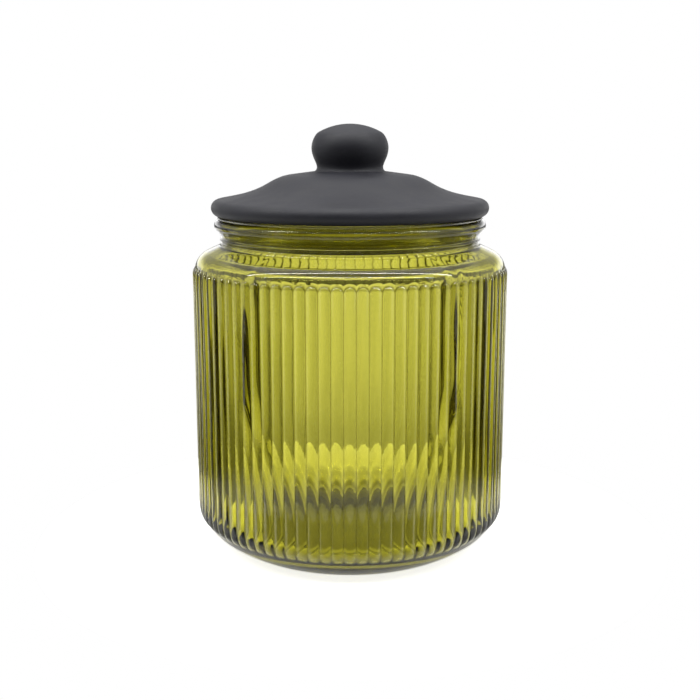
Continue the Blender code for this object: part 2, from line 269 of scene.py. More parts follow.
# %% The inside, from the bore down to the middle of the floor
FLOOR = 0.0054
INNER_HEEL_ROUND = 0.0140
THROAT_ROUND = 0.0030
INNER_WALL_ROWS = 28

floor_top = PUNT_HEIGHT + FLOOR


def inside():
    """The bore, the rounded throat, the ceiling under the shoulder, the wall, its heel and the floor."""
    corner_round = SHOULDER_ROUND - WALL
    corner = (inner_radius - corner_round, shoulder_centre[1])
    slope = math.radians(SHOULDER_SLOPE)
    ceiling = away(corner, 90 - SHOULDER_SLOPE, corner_round)
    throat_end = bore_radius + THROAT_ROUND * (1 - math.sin(slope))
    throat_foot = ceiling[1] + (ceiling[0] - throat_end) * math.tan(slope)
    throat = (bore_radius + THROAT_ROUND, throat_foot + THROAT_ROUND * math.cos(slope))
    heel_centre = (inner_radius - INNER_HEEL_ROUND, floor_top + INNER_HEEL_ROUND)
    upper = arc(throat, THROAT_ROUND, 180, 270 - SHOULDER_SLOPE, 6)
    turn = arc(corner, corner_round, 90 - SHOULDER_SLOPE, 0, 8)
    wall = line(turn[-1], (inner_radius, heel_centre[1]), INNER_WALL_ROWS)[1:-1]
    lower = arc(heel_centre, INNER_HEEL_ROUND, 0, -90, 10)
    floor = line(lower[-1], (0.0, floor_top), 6)[1:]
    return np.concatenate([upper, turn, wall, lower, floor])


inner_rows = plain_rows(inside())
print("the inside has", len(inner_rows), "rows, and its floor is", round(1000 * floor_top, 1), "mm up")

# %% [markdown]
# The inner wall is smooth but not true. Glass that cools on the inside of a hot wall flows a little, and this slow
# waviness bends what is seen through it. Where the gob of glass ran down and chilled on its way, it leaves a fold, a
# low ridge that looks like a dark ribbon. This jar has two to each side of its front. A bump in the material could
# stand for both, but light has to cross the wall at a changed place too, so the wall is really moved.

# %% Waves and folds of the inner wall
# Each wave: how often it goes round the jar, its shift, its length up the jar, and its depth.
WAVES = (
    (3, 0.9, 0.210, 0.00010),
    (7, 2.1, 0.130, 0.00009),
    (13, 4.0, 0.090, 0.00006),
    (24, 0.4, 0.061, 0.00004),
    (43, 5.2, 0.170, 0.00003),
)
# Each fold: its place in degrees from the front, its bend in degrees, its foot and its head, and its depth.
FOLDS = (
    (-36.0, 4.0, 0.045, 0.150, 0.0014),
    (-41.5, 3.0, 0.050, 0.130, 0.0012),
    (36.0, 4.0, 0.045, 0.150, 0.0014),
    (42.0, 4.0, 0.042, 0.142, 0.0012),
)
FOLD_WIDTH = 0.0018
FOLD_FADE = 0.030
FOLD_BENDS_BELOW = 0.090
FOLD_BEND_LENGTH = 0.030
CEILING_FADE = 0.006


def wave_depth(turn, height):
    """A sum of slow waves: each is a sine round the jar times a cosine up it."""
    depth = np.zeros(np.broadcast_shapes(turn.shape, height.shape))
    for count, shift, length, most in WAVES:
        depth += most * np.sin(count * turn + shift) * np.cos(2 * np.pi * height / length + shift)
    return depth


def fold_depth(turn, height, place, bend, foot, head, most):
    """A ridge: a bell curve across its path, faded at both ends.

    The path runs straight down the wall, and near its foot it bends to the front with the square of the way down.
    """
    down = np.clip((FOLD_BENDS_BELOW - height) / FOLD_BEND_LENGTH, 0, 2)
    path = np.radians(place - np.sign(place) * bend * down ** 2)
    off = (turn + np.pi / 2 - path + np.pi) % (2 * np.pi) - np.pi
    fade = np.clip((height - foot) / FOLD_FADE, 0, 1) * np.clip((head - height) / FOLD_FADE, 0, 1)
    return most * fade * np.exp(-(off * inner_radius / FOLD_WIDTH) ** 2)


def waviness(turn, height):
    """How far the inner wall strays outward: its waves less its folds, faded out at the ceiling and the floor."""
    stray = wave_depth(turn, height)
    for fold in FOLDS:
        stray -= fold_depth(turn, height, *fold)
    top_fade = np.clip((shoulder_centre[1] + CEILING_FADE - height) / CEILING_FADE, 0, 1)
    return stray * top_fade * np.clip(height / floor_top - 1.0, 0, 1)


print(len(WAVES), "waves and", len(FOLDS), "folds of up to", round(1000 * max(fold[-1] for fold in FOLDS), 2), "mm")

# %% [markdown]
# A rib is a shallow arc across, and two arcs meet in a groove that wear has rounded a little. The columns of the
# surface stand closer together beside the grooves, because a groove is where the surface turns fast. The mould opened
# along two lines, and there the neck and the rim keep a fine seam.

# %% A rib across, and the mould's seam
RIB_COLUMNS = 9
GROOVE_CROWDING = 0.55
GROOVE_WEAR = 0.025
WEAR_PLACES = 9
SEAM_TURN = math.radians(17.0)
SEAM_WIDTH = 0.00045
SEAM_HEIGHT = 0.00010


def rib_lift(phase):
    """Height of a rib at a share of its pitch: a circular arc, averaged over a short way to round the groove."""
    half = rib_pitch / 2
    bend = (half ** 2 + RIB_HEIGHT ** 2) / (2 * RIB_HEIGHT)
    near = (phase + np.linspace(-GROOVE_WEAR, GROOVE_WEAR, WEAR_PLACES)[:, None]) % 1.0
    return (np.sqrt(bend ** 2 - ((2 * near - 1) * half) ** 2) - (bend - RIB_HEIGHT)).mean(axis=0)


def seam_lift(turn, radius):
    """The mould's seam: a bell curve over the distance along the surface to the nearer of two opposite lines."""
    off = np.abs((turn + np.pi / 2 - SEAM_TURN + np.pi / 2) % np.pi - np.pi / 2) * radius
    return SEAM_HEIGHT * np.exp(-(off / SEAM_WIDTH) ** 2)


print("a rib's crest stands", round(1000 * rib_lift(np.array([0.5]))[0], 3), "mm proud")

# %% [markdown]
# A section becomes a surface when it is turned. The points are worked out for the whole surface at once as a grid:
# one row for each point of the section and one column for each step of the turn. A row at the axis is a pole, and it
# is kept as a single point, so that the surface closes there without a pinhole.

# %% Turn a grid of points into a closed mesh
def close_grid(name, grid, ring=False):
    """A closed mesh from a grid of rows by columns by XYZ, wrapped round in columns.

    Four neighbours in the grid make one face. With ring, the last row joins the first. Otherwise the first and last
    rows are poles, and a fan of triangles joins each pole to the row beside it.
    """
    rows, columns, _ = grid.shape
    next_column = (np.arange(columns) + 1) % columns
    if ring:
        points = grid.reshape(-1, 3)
        row = np.arange(rows)
        next_row = (row + 1) % rows
        first = 0
    else:
        points = np.concatenate([grid[0, :1], grid[1:-1].reshape(-1, 3), grid[-1, :1]])
        row = np.arange(rows - 3)
        next_row = row + 1
        first = 1
    column = np.arange(columns)
    lower = first + row[:, None] * columns
    upper = first + next_row[:, None] * columns
    quads = np.stack([lower + column, lower + next_column, upper + next_column, upper + column], axis=-1)
    corners, starts, sizes = quads.reshape(-1), 4 * np.arange(quads.size // 4), np.full(quads.size // 4, 4)
    if not ring:
        last = len(points) - 1
        top_row = last - columns
        under = np.stack([np.zeros(columns, int), 1 + next_column, 1 + column], axis=-1)
        over = np.stack([np.full(columns, last), top_row + column, top_row + next_column], axis=-1)
        fans = np.concatenate([under, over])
        starts = np.concatenate([starts, len(corners) + 3 * np.arange(len(fans))])
        sizes = np.concatenate([sizes, np.full(len(fans), 3)])
        corners = np.concatenate([corners, fans.reshape(-1)])
    mesh = bpy.data.meshes.new(name)
    mesh.vertices.add(len(points))
    mesh.vertices.foreach_set("co", points.astype(np.float32).ravel())
    mesh.loops.add(len(corners))
    mesh.loops.foreach_set("vertex_index", corners.astype(np.int32))
    mesh.polygons.add(len(starts))
    mesh.polygons.foreach_set("loop_start", starts.astype(np.int32))
    mesh.polygons.foreach_set("loop_total", sizes.astype(np.int32))
    mesh.update(calc_edges=True)
    mesh.validate()
    mesh.shade_smooth()
    return mesh


print("a grid closes into faces of four corners, with a fan at each pole")

# %% [markdown]
# Now the rows of the outside and of the inside become one grid. The ribs, the arches of their heads, the seam and the
# inner wall's waviness are laid on as the rows are turned, so that one mesh holds the whole pressing.

# %% Build the jar
def jar_grid():
    """Radius and height of each row, raised along its own tilt by the rib, bent down by its arch, and turned."""
    even = np.arange(RIB_COLUMNS) / RIB_COLUMNS
    phase = np.tile(even - GROOVE_CROWDING * np.sin(2 * np.pi * even) / (2 * np.pi), RIB_COUNT)
    rib = np.repeat(np.arange(RIB_COUNT), RIB_COLUMNS)
    turn = 2 * np.pi / RIB_COUNT * (rib + phase - 0.5) - np.pi / 2
    radius, height, tilt, rise, arch = (outside[:, i:i + 1] for i in range(5))
    lift = rise * rib_lift(phase)
    radius = radius + lift * np.cos(tilt)
    height = height + lift * np.sin(tilt) - arch * (1 - np.sqrt(1 - (2 * phase - 1) ** 2))
    on_neck = (outside[:, 1:2] > neck_foot) & (radius > ring_radius - 2 * RING_GROOVE)
    radius = radius + on_neck * seam_lift(turn, radius)
    inner_radii, inner_heights = (inner_rows[:, i:i + 1] for i in range(2))
    inner_radii = inner_radii + waviness(turn, inner_heights) * (inner_radii > inner_radius / 2)
    inner_heights = np.broadcast_to(inner_heights, inner_radii.shape)
    radius = np.concatenate([radius, inner_radii])
    height = np.concatenate([height, inner_heights])
    return np.stack([radius * np.cos(turn), radius * np.sin(turn), height], axis=-1)


jar_mesh = close_grid("jar_glass", jar_grid())
print("jar mesh:", len(jar_mesh.vertices), "vertices")

# %% [markdown]
# The lid stands on the sealing ring, and its plug fills the mouth with the ring round it. So the plug, the ring
# and the lid's land are worked out from the jar's own mouth and rim, with one clearance wherever two pieces meet.

# %% Sizes that the lid and the sealing ring share
CLEARANCE = 0.0003
SEAL_SPACE = 0.0047
FLANGE_THICKNESS = 0.0009
COLLAR_DEPTH = 0.0112
PLATEAU_RISE = 0.0185

plug_radius = bore_radius - SEAL_SPACE
flange_bottom = rim_top + CLEARANCE
flange_top = flange_bottom + FLANGE_THICKNESS
collar_foot = flange_top - COLLAR_DEPTH
lid_land = flange_top + CLEARANCE
plateau_top = lid_land + PLATEAU_RISE
print("plug", round(2000 * plug_radius, 2), "mm across, lid land at", round(1000 * lid_land, 2), "mm")

# %% [markdown]
# The lid is pressed in one with its knob. Seen from the side its top is an ogee: it starts almost level round the
# knob, falls, and flattens again before the thick round edge. Under it the plug has a lip that keeps the sealing
# ring on, and a domed hollow that saves glass. One section holds all of it, in three stretches. This is the first.

# %% The plug
PLUG_LIP = 0.0009
PLUG_LIP_HEIGHT = 0.0016
PLUG_WALL = 0.0043
PLUG_FOOT_ROUND = 0.0009
PLUG_FILLET = 0.0004
HOLLOW_SKIRT = 0.0010
CROWN_THICKNESS = 0.0058


def plug_section():
    """From the middle of the domed hollow, an ellipse, down its wall, round the foot and up the plug's outside."""
    hollow = plug_radius - PLUG_WALL
    spring = lid_land + HOLLOW_SKIRT
    dome = arc((0.0, 0.0), 1.0, 90, 0, 12) * (hollow, plateau_top - CROWN_THICKNESS - spring) + (0.0, spring)
    dome[0, 0] = 0.0
    lip_top = collar_foot - CLEARANCE
    lip = plug_radius + PLUG_LIP
    foot = lip_top - PLUG_LIP - PLUG_LIP_HEIGHT
    inner = rounded((hollow, foot + PLUG_FOOT_ROUND), (hollow, foot), (hollow + PLUG_FOOT_ROUND, foot), 5)
    outer = rounded((lip - PLUG_FOOT_ROUND, foot), (lip, foot), (lip, foot + PLUG_FOOT_ROUND), 5)
    groove = rounded((lip, lip_top - PLUG_LIP), (lip, lip_top), (plug_radius, lip_top), 5)
    land = [(plug_radius, lid_land - PLUG_FILLET), (plug_radius + PLUG_FILLET, lid_land)]
    return np.concatenate([dome, inner, outer, groove, land])


print("the plug's foot is", round(1000 * (rim_top - plug_section()[:, 1].min()), 2), "mm below the rim")

# %% [markdown]
# The crown. Its edge is nearly a half round, thick enough to survive a knock. The ogee is two free curves that meet
# with one slope, so that light runs over it without a break. Arcs could do it too, but the pulls of a free curve
# bring it nearer to the real outline.

# %% The crown
LID_OVERHANG = 0.0013
LID_EDGE_ROUND = 0.00375
EDGE_SLOPE = 10.5
OGEE_RADIUS = 0.0385
OGEE_DROP = 0.0041
OGEE_SLOPE = 30.5
OGEE_PULL = 0.36
PLATEAU_RADIUS = 0.0283
PLATEAU_SLOPE = 7.7


def crown_section():
    """The thick round edge, and the ogee up to the plateau round the knob."""
    edge = (bead_radius + LID_OVERHANG - LID_EDGE_ROUND, lid_land + LID_EDGE_ROUND)
    brow = away(edge, 90 - EDGE_SLOPE, LID_EDGE_ROUND)
    ogee = (OGEE_RADIUS, plateau_top - OGEE_DROP)
    plateau = (PLATEAU_RADIUS, plateau_top)
    outer_pull = OGEE_PULL * (brow[0] - OGEE_RADIUS)
    inner_pull = OGEE_PULL * (OGEE_RADIUS - PLATEAU_RADIUS)
    round_edge = arc(edge, LID_EDGE_ROUND, -90, 90 - EDGE_SLOPE, 18)
    lower = curve(brow, away(brow, 180 - EDGE_SLOPE, outer_pull), away(ogee, -OGEE_SLOPE, outer_pull), ogee, 12)
    above_ogee, below_plateau = away(ogee, 180 - OGEE_SLOPE, inner_pull), away(plateau, -PLATEAU_SLOPE, inner_pull)
    upper = curve(ogee, above_ogee, below_plateau, plateau, 8)
    return np.concatenate([round_edge, lower[1:], upper[1:]])


print("the lid is", round(2000 * crown_section()[:, 0].max(), 2), "mm across")

# %% [markdown]
# The knob. It swells from a short neck to its widest line high up, and closes in a flat dome with a soft shoulder, so
# that three fingers can lift it. Arcs alone can't follow it, so the barrel and its shoulder are free curves.

# %% The knob
KNOB_RADIUS = 0.01775
KNOB_NECK_RADIUS = 0.0153
KNOB_FILLET = 0.0016
KNOB_NECK_RISE = 0.0020
KNOB_WIDEST_RISE = 0.0107
KNOB_HEIGHT = 0.0216
KNOB_DOME = 0.0295
KNOB_DOME_EDGE = 0.0143
KNOB_EDGE_PULL = 0.0023
KNOB_CHEEK_PULL = 0.0025
KNOB_WAIST_PULL = 0.0040
KNOB_NECK_PULL = 0.0019

knob_seat = KNOB_NECK_RADIUS + KNOB_FILLET
knob_base = plateau_top + (PLATEAU_RADIUS - knob_seat) * math.tan(math.radians(PLATEAU_SLOPE))


def knob_section():
    """The fillet on the plateau, the barrel with its widest line high up, the soft shoulder, and the flat dome."""
    seat = (knob_seat, knob_base)
    neck_top = (KNOB_NECK_RADIUS, knob_base + KNOB_NECK_RISE)
    widest = (KNOB_RADIUS, knob_base + KNOB_WIDEST_RISE)
    top = knob_base + KNOB_HEIGHT
    dome_turn = math.degrees(math.asin(KNOB_DOME_EDGE / KNOB_DOME))
    dome = arc((0.0, top - KNOB_DOME), KNOB_DOME, 90 - dome_turn, 90, 8)
    dome[-1, 0] = 0.0
    fillet = rounded(seat, (KNOB_NECK_RADIUS, knob_base), neck_top, 7)
    waist = (KNOB_RADIUS, widest[1] - KNOB_WAIST_PULL)
    barrel = curve(neck_top, (KNOB_NECK_RADIUS, neck_top[1] + KNOB_NECK_PULL), waist, widest, 10)
    cheek = (KNOB_RADIUS, widest[1] + KNOB_CHEEK_PULL)
    brow = curve(widest, cheek, away(dome[0], -dome_turn, KNOB_EDGE_PULL), dome[0], 10)
    return np.concatenate([fillet, barrel[1:], brow[1:], dome[1:]])


print("knob top at", round(1000 * (knob_base + KNOB_HEIGHT), 2), "mm")

# %% [markdown]
# The lid has the same section all round, so its grid is that section turned. The steps are fine enough for its edge
# to look round close up.

# %% Build the lid
LID_COLUMNS = 288


def turned_grid(section, columns):
    """Every point of a section at every step of the turn: radius times cosine, radius times sine, height."""
    turn = np.linspace(0.0, 2 * np.pi, columns, endpoint=False)
    x = section[:, :1] * np.cos(turn)
    y = section[:, :1] * np.sin(turn)
    return np.stack([x, y, np.broadcast_to(section[:, 1:], x.shape)], axis=-1)


lid_section = np.concatenate([plug_section(), crown_section(), knob_section()])
lid_mesh = close_grid("lid_glass", turned_grid(lid_section, LID_COLUMNS))
print("lid section:", len(lid_section), "points")

# %% [markdown]
# The sealing ring is moulded in a clear soft plastic. Its flange keeps the lid off the glass rim, the collar grips the
# plug, and the three thin fins bend against the mouth. Only the flange's edge shows when the lid is on. Its section is
# a closed outline, so its surface closes on itself like a ring and has no poles.

# %% Build the sealing ring
FLANGE_INSET = 0.0014
COLLAR_THICKNESS = 0.0012
FIN_COUNT = 3
FIN_FIRST = 0.0032
FIN_PITCH = 0.0028
FIN_ROOT = 0.0011
FIN_TIP = 0.0005
FIN_LIFT = 0.0004
SEAL_COLUMNS = 256
SEAL_EDGE_ANGLE = math.radians(50)


def seal_section():
    """A closed outline, anticlockwise: up the fins from the collar's foot, out round the flange, and back inside."""
    inner = plug_radius + CLEARANCE
    outer = inner + COLLAR_THICKNESS
    tip = bore_radius - CLEARANCE
    edge = bead_radius - FLANGE_INSET
    points = [[(inner, collar_foot), (outer, collar_foot)]]
    for fin in reversed(range(FIN_COUNT)):
        height = flange_top - FIN_FIRST - fin * FIN_PITCH
        lower, upper = (outer, height - FIN_ROOT / 2), (outer, height + FIN_ROOT / 2)
        end = arc((tip - FIN_TIP / 2, height + FIN_LIFT), FIN_TIP / 2, -90, 90, 5)
        points += [[lower], end, [upper]]
    middle = (flange_bottom + flange_top) / 2
    nose = arc((edge - FLANGE_THICKNESS / 2, middle), FLANGE_THICKNESS / 2, -90, 90, 9)
    points += [[(outer, flange_bottom)], nose, [(inner, flange_top)]]
    return np.concatenate(points)


seal_mesh = close_grid("seal_clear", turned_grid(seal_section(), SEAL_COLUMNS), ring=True)
seal_mesh.set_sharp_from_angle(angle=SEAL_EDGE_ANGLE)
print("seal section:", len(seal_section()), "points")

# %% [markdown]
# Materials are networks of nodes, and long ones are hard to read as separate calls. The class below lets a socket be
# used like a number: adding, subtracting and multiplying put the Math nodes in. Everything else goes through one
# method, which takes the kind of node, its settings and what goes into its sockets.

# %% A socket that can be used in sums
class Wire:
    """An output socket in a material. Sums on it add Math nodes, and node() adds a node of any other kind."""

    def __init__(self, tree, socket=None):
        self.tree = tree
        self.socket = socket

    def node(self, kind, settings, sockets, output=0):
        """Adds a node, sets its settings first, then fills or links its input sockets, and returns an output."""
        made = self.tree.nodes.new("ShaderNode" + kind)
        for name, value in settings.items():
            setattr(made, name, value)
        for key, value in sockets.items():
            if isinstance(value, Wire):
                self.tree.links.new(value.socket, made.inputs[key])
            else:
                made.inputs[key].default_value = value
        return Wire(self.tree, made.outputs[output] if made.outputs else None)

    def sum(self, operation, first, second):
        """A Math node with its operation and two values."""
        return self.node("Math", {"operation": operation}, {0: first, 1: second})

    def __add__(self, other):
        return self.sum("ADD", self, other)

    __radd__ = __add__

    def __mul__(self, other):
        return self.sum("MULTIPLY", self, other)

    __rmul__ = __mul__

    def __sub__(self, other):
        return self.sum("SUBTRACT", self, other)

    def __rsub__(self, other):
        return self.sum("SUBTRACT", other, self)


print("materials are written as sums of sockets")

# %% [markdown]
# Every finish is made of the same few steps: a place on the piece, noise, a ramp that picks out part of it, a colour
# between two, and a bump. The place is the object's own, so that the pattern stays on the piece when it moves.

# %% Steps that the materials share
MIX_A, MIX_B, MIX_COLOUR = 6, 7, 2


def start_material(name):
    """A new material: its empty tree, and the object's own coordinates."""
    material = bpy.data.materials.new(name)
    material.use_nodes = True
    tree = material.node_tree
    tree.nodes.clear()
    place = Wire(tree).node("TexCoord", {}, {}, "Object")
    return material, place


def noise(place, per_metre, detail, stretch=(1.0, 1.0, 1.0)):
    """Soft noise from 0 to 1, with so many lumps to the metre, drawn out along an axis whose stretch is below 1."""
    moved = place.node("Mapping", {}, {"Vector": place, "Scale": stretch})
    return place.node("TexNoise", {}, {"Vector": moved, "Scale": per_metre, "Detail": detail})


def ramp(value, low, high, start=0.0, end=1.0):
    """Spreads a value between low and high out to the range from start to end, and holds it there."""
    settings = {"interpolation_type": "SMOOTHSTEP", "clamp": True}
    return value.node("MapRange", settings, {"Value": value, 1: low, 2: high, 3: start, 4: end})


def between(share, first, second):
    """A colour between two: the first where the share is 0, the second where it is 1."""
    return share.node("Mix", {"data_type": "RGBA"}, {"Factor": share, MIX_A: first, MIX_B: second}, MIX_COLOUR)


def bump(height, strength):
    """The surface's normal after a height in metres is laid on it."""
    return height.node("Bump", {}, {"Strength": strength, "Distance": 1.0, "Height": height})


def axis_distance(place):
    """Distance from the upright axis: the length of the place with its height taken out."""
    flat = place.node("Mapping", {}, {"Vector": place, "Scale": (1.0, 1.0, 0.0)})
    return place.node("VectorMath", {"operation": "LENGTH"}, {0: flat}, "Value")


print("a finish is a place, noise, a ramp, a colour and a bump")

# %% [markdown]
# In every groove the real jar shows a thin dark line, which goes on round the rib's head. It is shade that the groove's
# shape draws as light bends through it, but too faintly at this size, so painted shade tints the glass along it. The
# line follows from the ribs' number and pitch, not from a picture: it is where the distance from a rib's middle line is
# half the pitch.

# %% Painted shade along each rib's edge
# Painted shade in the grooves: how dark it is, how wide, its colour, and the radii beyond which it lies.
GROOVE_SHADE_DEPTH = 0.85
GROOVE_SHADE_WIDTH = 0.00048
GROOVE_SHADE_COLOUR = (0.28, 0.26, 0.07, 1.0)
GROOVE_SHADE_BEYOND = (inner_radius + 0.001, inner_radius + 0.002)


def rib_groove_shade(place):
    """1 where painted shade lies along the edge of every rib and round its head, 0 elsewhere and on the inside of the
    wall.

    Across, the arc cosine of the turn's cosine falls and rises once a rib. Above the middle of the round head, the
    distance is the root of the squares across and up.
    """
    across, along, height = (place.node("SeparateXYZ", {}, {0: place}, axis) for axis in "XYZ")
    turn = (across.sum("ARCTAN2", along, across) + math.pi / 2) * RIB_COUNT
    off = turn.sum("ARCCOSINE", turn.sum("COSINE", turn, 0.0), 0.0) * (rib_pitch / (2 * math.pi))
    over = height.sum("MAXIMUM", height - (rib_top - HEAD_DROP), 0.0)
    reach = off.sum("SQRT", off * off + over * over, 0.0)
    shade_line = ramp(reach, HEAD_DROP - GROOVE_SHADE_WIDTH, HEAD_DROP) * ramp(reach, HEAD_DROP, HEAD_DROP + GROOVE_SHADE_WIDTH, 1.0, 0.0)
    return shade_line * ramp(axis_distance(place), *GROOVE_SHADE_BEYOND)


print("the mark is", round(2000 * GROOVE_SHADE_WIDTH, 2), "mm wide at its foot")

# %% [markdown]
# Tinted glass. The colour of real bottle glass is in its depth, not on its face: a thin edge looks nearly clear and a
# thick heel looks dark. So the surface is left almost white, and an absorbing volume inside takes the blue out of the
# light along its way. Base colour alone would tint a rib's crest and its groove alike.
# Pressed glass also keeps the mould's marks: long faint draws up the wall, a fine peel all over, and dull spots.

# %% Olive glass
GLASS_IOR = 1.50
ABSORPTION_PER_M = 330.0
ABSORPTION_COLOUR = (0.79, 0.775, 0.17, 1.0)
CLEAR_FILM = (1.0, 1.0, 0.985, 1.0)
DULL_FILM = (0.965, 0.97, 0.93, 1.0)
DRAW_DEPTH = 0.0003
GLASS_PEEL_DEPTH = 0.000025


def olive_surface(place):
    """Clear dielectric with faint mould marks on its face, painted shade along its grooves, and the absorbing volume
    behind it.
    """
    draws = noise(place, 55.0, 2.0, (1.0, 1.0, 0.22))
    peel = noise(place, 420.0, 3.0)
    dull = noise(place, 38.0, 4.0)
    film = between(ramp(dull, 0.35, 0.75), CLEAR_FILM, DULL_FILM)
    glass = place.node("BsdfPrincipled", {}, {
        # The base colour carries painted shade along the grooves.
        "Base Color": between(rib_groove_shade(place) * GROOVE_SHADE_DEPTH, film, GROOVE_SHADE_COLOUR),
        "Roughness": ramp(dull, 0.45, 0.8, 0.008, 0.05),
        "Normal": bump(draws * DRAW_DEPTH + peel * GLASS_PEEL_DEPTH, 0.35),
        "IOR": GLASS_IOR,
        "Transmission Weight": 1.0,
    })
    tint = place.node("VolumeAbsorption", {}, {"Color": ABSORPTION_COLOUR, "Density": ABSORPTION_PER_M})
    return glass, tint


def olive_glass():
    """Bare pressed glass."""
    material, place = start_material("olive_glass")
    glass, tint = olive_surface(place)
    place.node("OutputMaterial", {}, {"Surface": glass, "Volume": tint})
    return material


print("the glass takes out blue at", round(ABSORPTION_PER_M * (1 - ABSORPTION_COLOUR[2]), 1), "per metre")

# %% [markdown]
# The lid is sprayed on its outside, round to the underside of the edge, and on the plug's lowest part. The rest of the
# plug stays bare glass, and this is why the neck shows olive light under a black lid. The piece could be cut in two
# for its two finishes, but a mask from its own heights and radii keeps it whole, as the real one is.

# %% Where the lid is sprayed
SPRAY_RADIUS = 0.0600
SPRAY_FOOT = 0.0030
SPRAY_EDGE = 0.0002
LOOKS_UP = (0.01, 0.05)


def sprayed(place):
    """1 on sprayed faces: those above the land that look up, those out at the edge, the knob and the plug's foot."""
    facing = place.node("TexCoord", {}, {}, "Normal")
    facing_up = facing.node("SeparateXYZ", {}, {0: facing}, "Z")
    height = place.node("SeparateXYZ", {}, {0: place}, "Z")
    top = ramp(height, lid_land + SPRAY_EDGE, lid_land + 3 * SPRAY_EDGE) * ramp(facing_up, *LOOKS_UP)
    edge = ramp(axis_distance(place), SPRAY_RADIUS - SPRAY_EDGE, SPRAY_RADIUS + SPRAY_EDGE)
    knob = ramp(height, plateau_top - SPRAY_EDGE, plateau_top)
    foot = ramp(height, collar_foot + SPRAY_FOOT, collar_foot + SPRAY_FOOT + SPRAY_EDGE, 1.0, 0.0)
    return 1 - (1 - top) * (1 - edge) * (1 - knob) * (1 - foot)


print("the plug is sprayed up to", round(1000 * (collar_foot + SPRAY_FOOT), 2), "mm")

# %% [markdown]
# The lid's coating is a sprayed matte black. Close up it is a fine grain, like an eggshell, with an orange peel under
# it, and its dullness varies slightly from spot to spot. Three noises of falling size do that: one for the colour and
# dullness, two for the bump.

# %% Matte black coating
COAT_DARK = (0.0118, 0.0120, 0.0165, 1.0)
COAT_PALE = (0.0180, 0.0183, 0.0245, 1.0)
COAT_IOR = 1.43
GRAIN_DEPTH = 0.00003
COAT_PEEL_DEPTH = 0.00005


def black_coat():
    """Near-black satin with grain over bare glass: noise drives the shade, the dullness and a two-scale bump."""
    material, place = start_material("black_coat")
    cloud = noise(place, 90.0, 4.0)
    grain = noise(place, 3200.0, 2.0)
    peel = noise(place, 520.0, 2.0)
    coat = place.node("BsdfPrincipled", {}, {
        "Base Color": between(ramp(cloud * 0.5 + grain * 0.5, 0.35, 0.65), COAT_DARK, COAT_PALE),
        "Roughness": ramp(cloud, 0.3, 0.7, 0.50, 0.60),
        "Normal": bump(grain * GRAIN_DEPTH + peel * COAT_PEEL_DEPTH, 0.5),
        "IOR": COAT_IOR,
    })
    glass, tint = olive_surface(place)
    both = place.node("MixShader", {}, {0: sprayed(place), 1: glass, 2: coat})
    place.node("OutputMaterial", {}, {"Surface": both, "Volume": tint})
    return material


print("coating: shade", COAT_DARK[:3], "to", COAT_PALE[:3])

# %% [markdown]
# The ring's plastic is soft and clear, but it scatters more light than glass. It gets a rougher transmission and a
# faint mottled bump, so its edge reads as a pale line against the black lid.

# %% Clear soft plastic
SEAL_DARK = (0.86, 0.85, 0.76, 1.0)
SEAL_PALE = (0.93, 0.92, 0.86, 1.0)
SEAL_IOR = 1.45
MOTTLE_DEPTH = 0.00008


def clear_seal():
    """Cloudy transmitting plastic with a mottled surface."""
    material, place = start_material("clear_seal")
    mottle = noise(place, 260.0, 3.0)
    plastic = place.node("BsdfPrincipled", {}, {
        "Base Color": between(ramp(mottle, 0.3, 0.7), SEAL_DARK, SEAL_PALE),
        "Roughness": ramp(mottle, 0.3, 0.7, 0.05, 0.10),
        "Normal": bump(mottle * MOTTLE_DEPTH, 0.4),
        "IOR": SEAL_IOR,
        "Transmission Weight": 0.95,
    })
    place.node("OutputMaterial", {}, {"Surface": plastic})
    return material


print("plastic: shade", SEAL_DARK[:3], "to", SEAL_PALE[:3])

# %% [markdown]
# Each fine piece now takes the place of its plain solid. It rides on the same body, so it moves with that body's joint,
# and it sits at the origin with its place in its mesh, as the solids do.

# %% Put the three pieces in place
def new_object(name, data):
    """An object with this mesh, lamp or camera, in the scene."""
    made = bpy.data.objects.new(name, data)
    bpy.context.scene.collection.objects.link(made)
    return made


def add_piece(name, mesh, body, node, material):
    """Puts a finished mesh in the scene as the piece that stands for one solid of the frame."""
    piece = new_object(name, mesh)
    mesh.materials.append(material)
    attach(piece, body)
    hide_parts(node)
    mesh.calc_loop_triangles()
    print(name, "has", len(mesh.loop_triangles), "triangles")


add_piece("jar_glass", jar_mesh, "jar", "jar_body", olive_glass())
add_piece("seal_clear", seal_mesh, "seal", "seal_ring", clear_seal())
add_piece("lid_glass", lid_mesh, "lid", "lid", black_coat())

# %% [markdown]
# Glass shows its surroundings more than itself, so the studio is part of its look. The jar stands on a small table that
# is plain white paper to the camera. The glass sees another one: painted shade makes it dark in front, because the
# front of the real jar mirrors almost nothing, and painted light makes it glow behind and under the jar, set to the
# real glass's brightness. The table's far edge, seen through the ribs, makes the row of bright arches low on the jar.

# %% The table's paper
# The paper's front half is painted dark for the glass only: painted shade.
TABLE_FRONT_SHADE = (0.10, 0.10, 0.10, 1.0)
TABLE_PALE = (0.88, 0.88, 0.87, 1.0)
TABLE_ROUGHNESS = 0.75
TABLE_LIT_FROM = (-0.092, -0.072)
# The glows are painted light: the paper emits it, though it is no lamp.
TABLE_GLOW = 0.34
TABLE_GLOW_RISES = (0.085, 0.110)
UNDER_GLOW = 0.36
UNDER_GLOW_FALLS = (0.072, 0.086)
PAPER_GLOW = 0.8


